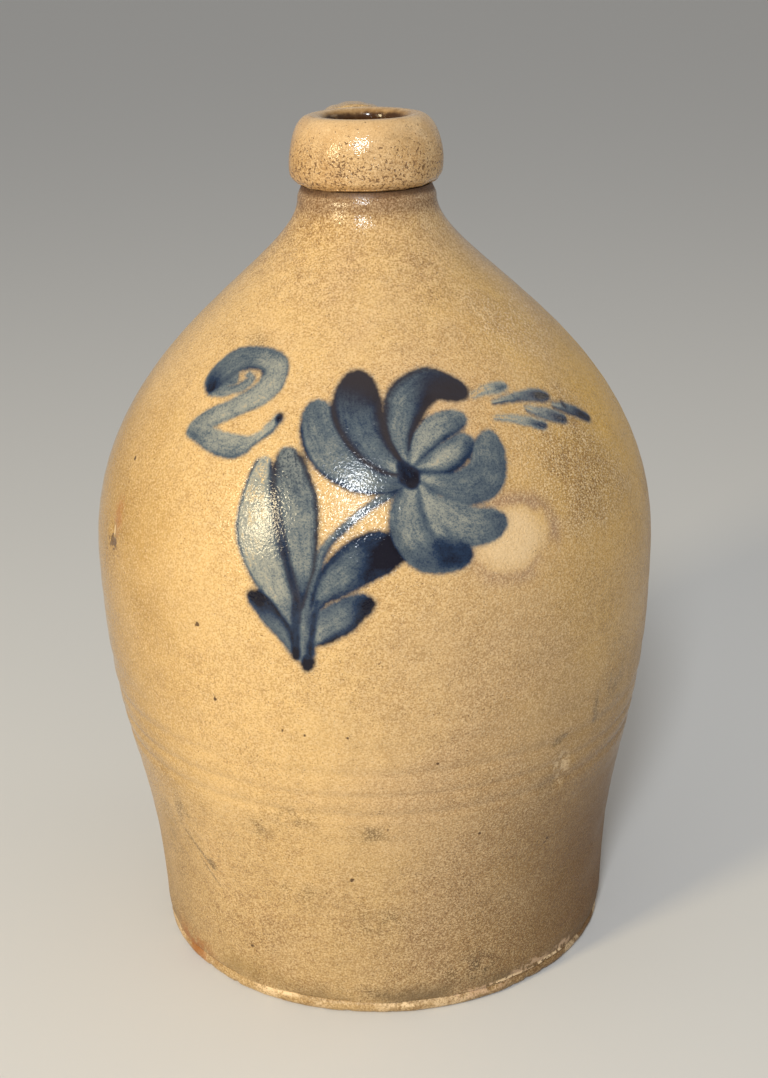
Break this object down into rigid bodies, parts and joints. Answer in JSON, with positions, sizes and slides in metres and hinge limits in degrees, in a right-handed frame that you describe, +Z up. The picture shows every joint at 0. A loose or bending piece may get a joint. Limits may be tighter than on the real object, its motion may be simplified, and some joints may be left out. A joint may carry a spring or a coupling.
{
  "type": "stoneware jug",
  "caption": "Salt-glazed stoneware jug: swelling thrown body, narrow neck under a thick rolled collar, strap handle from collar to shoulder, brushed cobalt flower on the front.",
  "frame": {"origin": "centre of the underside of the foot, where the jug stands", "axes": "+Z up along the pot's axis; -Y towards the decorated front; +Y towards the strap handle; +X to the right seen from the front"},
  "size_m": [0.227, 0.227, 0.34],
  "materials": {
    "stoneware": "salt glaze with fine orange-peel texture and iron specks",
    "collar_stoneware": "salt glaze over iron-flecked tan clay",
    "slip_brown": "glossy dark brown slip glaze",
    "cobalt": "brushed cobalt slip under salt glaze"
  },
  "bodies": {
    "root": {"foot_slab": "stoneware", "lower_wall": "stoneware", "shoulder_wall": "stoneware", "lip_collar": "collar_stoneware", "handle_strap": "stoneware", "slip_lining": "slip_brown", "cobalt_petals": "cobalt", "cobalt_leaves": "cobalt", "cobalt_feather": "cobalt", "cobalt_numeral": "cobalt"}
  },
  "joints": []
}
